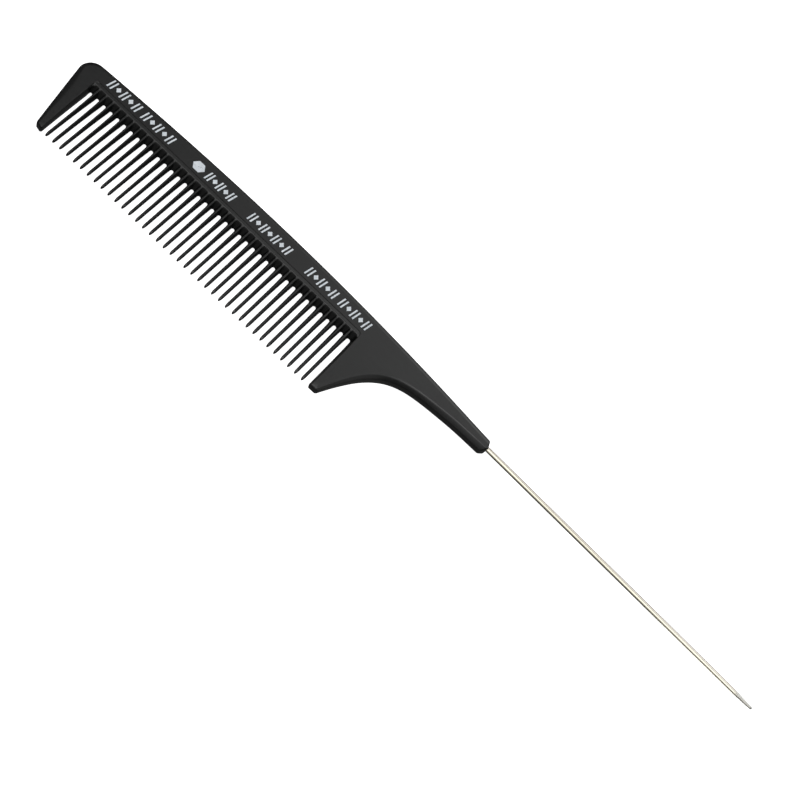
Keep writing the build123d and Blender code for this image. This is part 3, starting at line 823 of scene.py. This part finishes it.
# ---------------------------------------------------------------- materials
class Shader:
    """A node tree, with a method for each kind of node that is used often."""

    def __init__(self, owner):
        owner.use_nodes = True
        self.tree = owner.node_tree
        self.tree.nodes.clear()

    def add(self, kind, inputs=None, **settings):
        node = self.tree.nodes.new("ShaderNode" + kind)
        for name, value in settings.items():
            setattr(node, name, value)
        for socket, value in (inputs or {}).items():
            if isinstance(value, bpy.types.NodeSocket):
                self.tree.links.new(value, node.inputs[socket])
            else:
                node.inputs[socket].default_value = value
        return node

    def object_coords(self):
        return self.add("TexCoord").outputs["Object"]

    def stretched(self, vector, scale):
        return self.add("Mapping", {"Vector": vector, "Scale": scale}).outputs[0]

    def noise(self, vector, scale=1.0, detail=3.0, roughness=0.55, distortion=0.0):
        return self.add("TexNoise", {"Vector": vector, "Scale": scale, "Detail": detail,
                                     "Roughness": roughness, "Distortion": distortion}).outputs[0]

    def ramp(self, value, span, to=(0.0, 1.0), **settings):
        """Maps the span of values to another range, clamped."""
        return self.add("MapRange", {"Value": value, "From Min": span[0], "From Max": span[1],
                                     "To Min": to[0], "To Max": to[1]},
                        clamp=True, **settings).outputs[0]

    def math(self, operation, *values):
        return self.add("Math", dict(enumerate(values)), operation=operation).outputs[0]

    def mix(self, fac, a, b):
        """Blends two colours, given as sockets or as (red, green, blue)."""
        a, b = ((*c, 1) if isinstance(c, tuple) else c for c in (a, b))
        return self.add("Mix", {0: fac, 6: a, 7: b}, data_type="RGBA").outputs[2]

    def bump(self, height, strength, distance):
        return self.add("Bump", {"Height": height, "Strength": strength,
                                 "Distance": distance}).outputs[0]

    def principled(self, inputs):
        return self.add("BsdfPrincipled", inputs).outputs[0]


def carbon_plastic():
    """Black filled plastic with a satin, spark-eroded surface, shinier where it is worn."""
    material = bpy.data.materials.new("carbon_plastic")
    s = Shader(material)
    position = s.object_coords()
    broad = s.noise(position, scale=90, detail=4, roughness=0.6)
    medium = s.noise(position, scale=900, detail=3, roughness=0.6)
    fine = s.noise(position, scale=5200, detail=2, roughness=0.5)
    flow = s.noise(s.stretched(position, (60, 420, 420)), distortion=0.6)
    wear = s.add("Attribute", attribute_name="wear").outputs["Fac"]
    wear = s.math("MULTIPLY", wear, s.ramp(medium, (0.38, 0.62), to=(0.35, 1.0)))
    streaks = s.noise(s.stretched(position, (350, 5200, 900)), detail=2, roughness=0.5,
                      distortion=0.3)
    scratches = s.ramp(streaks, (0.66, 0.74))
    colour = s.mix(s.ramp(broad, (0.3, 0.7)), a=(0.0045, 0.0048, 0.0048),
                   b=(0.0065, 0.0070, 0.0068))
    colour = s.mix(s.ramp(flow, (0.45, 0.75), to=(0.0, 0.35)), a=colour,
                   b=(0.0110, 0.0118, 0.0112))
    colour = s.mix(s.math("MULTIPLY", wear, 0.5), a=colour, b=(0.020, 0.021, 0.0205))
    roughness = s.ramp(medium, (0.3, 0.7), to=(0.34, 0.44))
    roughness = s.math("SUBTRACT", roughness, s.math("MULTIPLY", wear, 0.12))
    roughness = s.math("SUBTRACT", roughness, s.math("MULTIPLY", scratches, 0.08))
    height = s.math("ADD", s.math("MULTIPLY", fine, 0.7), s.math("MULTIPLY", medium, 0.5))
    height = s.math("SUBTRACT", height, s.math("MULTIPLY", scratches, 0.25))
    surface = s.principled({"Base Color": colour, "Roughness": roughness, "IOR": 1.52,
                            "Normal": s.bump(height, strength=0.22, distance=0.00004)})
    s.add("OutputMaterial", {"Surface": surface})
    return material


def drawn_steel():
    """Drawn wire, with a painted highlight that lightens it towards its tip and painted shade on the
    flank that faces +y.
    """
    material = bpy.data.materials.new("drawn_steel")
    s = Shader(material)
    position = s.object_coords()
    lines = s.noise(s.stretched(position, (25, 9000, 9000)), roughness=0.6)
    blotches = s.noise(s.stretched(position, (70, 500, 500)), roughness=0.6)
    along = s.add("SeparateXYZ", {0: position}).outputs[0]
    on_tip = s.ramp(along, (0.0868, 0.0885))
    colour = s.mix(s.ramp(blotches, (0.35, 0.7)), a=(0.55, 0.53, 0.44), b=(0.50, 0.48, 0.40))
    colour = s.mix(s.ramp(lines, (0.45, 0.75), to=(0.0, 0.5)), a=colour, b=(0.40, 0.385, 0.35))
    # painted highlight: the colour is lightened towards the tip, standing in for the brighter
    # reflections there
    colour = s.mix(s.ramp(along, (0.035, 0.086), to=(0.0, 0.8)), a=colour, b=(0.83, 0.81, 0.71))
    # painted shade: the flank that faces +y is painted darker and pinker, standing in for its dimmer
    # reflection
    normal = s.add("SeparateXYZ", {0: s.add("NewGeometry").outputs["Normal"]})
    painted_shade_colour = s.mix(s.ramp(lines, (0.4, 0.7)), a=(0.385, 0.345, 0.315), b=(0.35, 0.315, 0.29))
    colour = s.mix(s.ramp(normal.outputs[1], (-0.25, 0.45)), a=colour, b=painted_shade_colour)
    colour = s.mix(on_tip, a=colour, b=(0.62, 0.615, 0.58))
    roughness = s.math("ADD", s.ramp(lines, (0.3, 0.7), to=(0.24, 0.34)),
                       s.math("MULTIPLY", on_tip, 0.12))
    surface = s.principled({"Base Color": colour, "Metallic": 1.0, "Roughness": roughness,
                            "Normal": s.bump(lines, strength=0.25, distance=0.00001)})
    s.add("OutputMaterial", {"Surface": surface})
    return material


def worn_ink():
    """Thin pale print, worn through in places."""
    material = bpy.data.materials.new("worn_ink")
    s = Shader(material)
    position = s.object_coords()
    holes = s.ramp(s.noise(position, scale=2600, roughness=0.65), (0.62, 0.70))
    thin = s.ramp(s.noise(position, scale=700, roughness=0.6), (0.35, 0.75))
    colour = s.mix(thin, a=(0.80, 0.84, 0.88), b=(0.62, 0.68, 0.73))
    colour = s.mix(s.math("MULTIPLY", holes, 0.85), a=colour, b=(0.03, 0.03, 0.03))
    grain = s.noise(position, scale=4200, detail=2)
    surface = s.principled({"Base Color": colour,
                            "Roughness": s.ramp(thin, (0, 1), to=(0.45, 0.62)),
                            "Normal": s.bump(grain, strength=0.3, distance=0.00003)})
    s.add("OutputMaterial", {"Surface": surface})
    return material


def pale_floor():
    """Glowing near-white, clear from below so that the comb's underside can be looked at."""
    material = bpy.data.materials.new("pale_floor")
    s = Shader(material)
    tone = s.mix(s.noise(s.object_coords(), scale=30), a=(0.985, 0.985, 0.985),
                 b=(0.995, 0.995, 0.995))
    surface = s.principled({"Base Color": s.mix(0.5, a=tone, b=(0.9, 0.9, 0.9)), "Roughness": 0.9,
                            "Specular IOR Level": 0.0, "Emission Color": tone,
                            "Emission Strength": 1.0})
    one_sided = s.add("MixShader", {0: s.add("NewGeometry").outputs["Backfacing"], 1: surface,
                                    2: s.add("BsdfTransparent").outputs[0]})
    s.add("OutputMaterial", {"Surface": one_sided.outputs[0]})
    return material


def set_material(piece, material):
    piece.data.materials.clear()
    piece.data.materials.append(material)


# ---------------------------------------------------------------- floor, studio and camera
# Soft boxes of the studio: x and y of the unit direction to the centre, radiance
SOFT_BOXES = [
    (0.0, -0.2, 2.74), (0.2, 1.0, 0.95), (0.2, 0.6, 1.42), (0.2, 0.8, 0.72), (0.0, -0.4, 0.87),
    (-0.2, -0.2, 0.75), (0.8, 0.0, 0.68), (0.0, 0.6, 0.40), (0.4, 0.6, 0.20), (-0.8, 0.4, 0.19),
    (-0.2, -1.0, 0.18),
]
BOX_SPREAD = 0.20                  # standard deviation of a soft box, in the same units
BELOW_RADIANCE = 0.116             # from under the horizon
HORIZON = (-0.04, 0.12)            # z of the direction over which it fades into the boxes


def add_floor():
    bpy.ops.mesh.primitive_plane_add(size=6.0, location=(0, 0, -HALF_T / MM - 0.00002))
    floor = bpy.context.object
    floor.name = "floor"
    floor.data.materials.append(pale_floor())
    # seen by the camera only
    floor.visible_diffuse = floor.visible_glossy = False
    floor.visible_transmission = floor.visible_shadow = False


def add_studio():
    """World of soft boxes, mostly overhead and towards +y. The camera sees plain white."""
    world = bpy.data.worlds.new("studio")
    bpy.context.scene.world = world
    s = Shader(world)
    direction = s.add("SeparateXYZ", {0: s.add("TexCoord").outputs["Generated"]})
    x, y, z = direction.outputs[0], direction.outputs[1], direction.outputs[2]
    total = None
    for box_x, box_y, radiance in SOFT_BOXES:
        off_x, off_y = s.math("SUBTRACT", x, box_x), s.math("SUBTRACT", y, box_y)
        square = s.math("ADD", s.math("MULTIPLY", off_x, off_x), s.math("MULTIPLY", off_y, off_y))
        falloff = s.math("EXPONENT", s.math("MULTIPLY", square, -0.5 / BOX_SPREAD ** 2))
        glow = s.math("MULTIPLY", falloff, radiance)
        total = glow if total is None else s.math("ADD", total, glow)
    above = s.ramp(z, HORIZON, to=(0.0, 1.0), interpolation_type="SMOOTHSTEP")
    below = s.ramp(z, HORIZON, to=(BELOW_RADIANCE, 0.0), interpolation_type="SMOOTHSTEP")
    strength = s.math("ADD", s.math("MULTIPLY", total, above), below)
    lit = s.add("Background", {"Color": (1.0, 1.0, 1.0, 1), "Strength": strength})
    seen = s.add("Background", {"Color": (0.99, 0.99, 0.99, 1), "Strength": 1.0})
    split = s.add("MixShader", {0: s.add("LightPath").outputs["Is Camera Ray"],
                                1: lit.outputs[0], 2: seen.outputs[0]})
    s.add("OutputWorld", {0: split.outputs[0]})


def add_disk_light(name, location, target, size, radiance, colour, only):
    """A disk light that falls on the listed objects only."""
    light = bpy.data.lights.new(name, "AREA")
    light.shape, light.size, light.color = "DISK", size, colour
    light.energy = radiance * pi * (pi * (size / 2) ** 2)
    lamp = bpy.data.objects.new(name, light)
    bpy.context.scene.collection.objects.link(lamp)
    lamp.location = location
    aim = Vector(target) - Vector(location)
    lamp.rotation_euler = aim.to_track_quat("-Z", "Y").to_euler()
    receivers = bpy.data.collections.new(name + "_on")
    for piece in only:
        receivers.objects.link(piece)
    lamp.light_linking.receiver_collection = receivers


def add_camera():
    """Looks down steeply from the -y side, rolled so that the comb lies across the picture."""
    elevation, azimuth, roll = radians(64), radians(1.10097), radians(43.51946)
    target = Vector((-24.51648, -7.31315, 0)) / MM
    distance = 0.38407456
    backward = Vector((sin(azimuth) * cos(elevation), -cos(azimuth) * cos(elevation),
                       sin(elevation)))
    level_right = Vector((cos(azimuth), sin(azimuth), 0))
    level_up = level_right.cross(-backward)
    rolled_right = level_right * cos(roll) + level_up * sin(roll)
    rolled_up = -level_right * sin(roll) + level_up * cos(roll)
    data = bpy.data.cameras.new("camera")
    data.lens, data.sensor_width, data.sensor_fit = 68.91, 36.0, "HORIZONTAL"
    data.clip_start, data.clip_end = 0.01, 20.0
    camera = bpy.data.objects.new("camera", data)
    bpy.context.scene.collection.objects.link(camera)
    matrix = Matrix((rolled_right, rolled_up, backward)).transposed().to_4x4()
    matrix.translation = target + backward * distance
    camera.matrix_world = matrix
    bpy.context.scene.camera = camera


# ---------------------------------------------------------------- build
for item in list(bpy.data.objects):        # a start-up scene's own objects, when there are any
    if item.type in ("MESH", "LIGHT", "CAMERA") and "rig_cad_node" not in item:
        bpy.data.objects.remove(item)
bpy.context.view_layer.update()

body = comb_body()
pin = pin_object("pin_steel")
bore(body)
for piece, sharp_angle, cad_name in ((body, 32, "comb_body"), (pin, 40, "tail_pin")):
    piece.data.polygons.foreach_set("use_smooth", [True] * len(piece.data.polygons))
    piece.data.set_sharp_from_angle(angle=radians(sharp_angle))
    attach(piece, "root")
    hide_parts(cad_name)

prints = [piece for name, piece in frame["nodes"].items() if name.startswith("print_")]
set_material(body, carbon_plastic())
set_material(pin, drawn_steel())
ink = worn_ink()
for piece in prints:
    set_material(piece, ink)

add_floor()
add_studio()
add_disk_light("ink_fill", location=(-0.25, -0.15, 0.80), target=(-0.08, 0, 0), size=0.60,
               radiance=1.3, colour=(0.97, 0.99, 1.0), only=prints)
add_disk_light("pin_front", location=(0.05, -0.75, 0.75), target=(0.05, 0, 0), size=1.15,
               radiance=1.30, colour=(1.0, 0.97, 0.90), only=[pin])
add_disk_light("pin_under", location=(0.104, -0.046, -0.092), target=(0.104, 0, 0), size=0.050,
               radiance=2.6, colour=(1.0, 0.99, 0.95), only=[pin])
add_camera()
bpy.context.scene.view_settings.view_transform = "Standard"
bpy.context.scene.view_settings.look = "None"
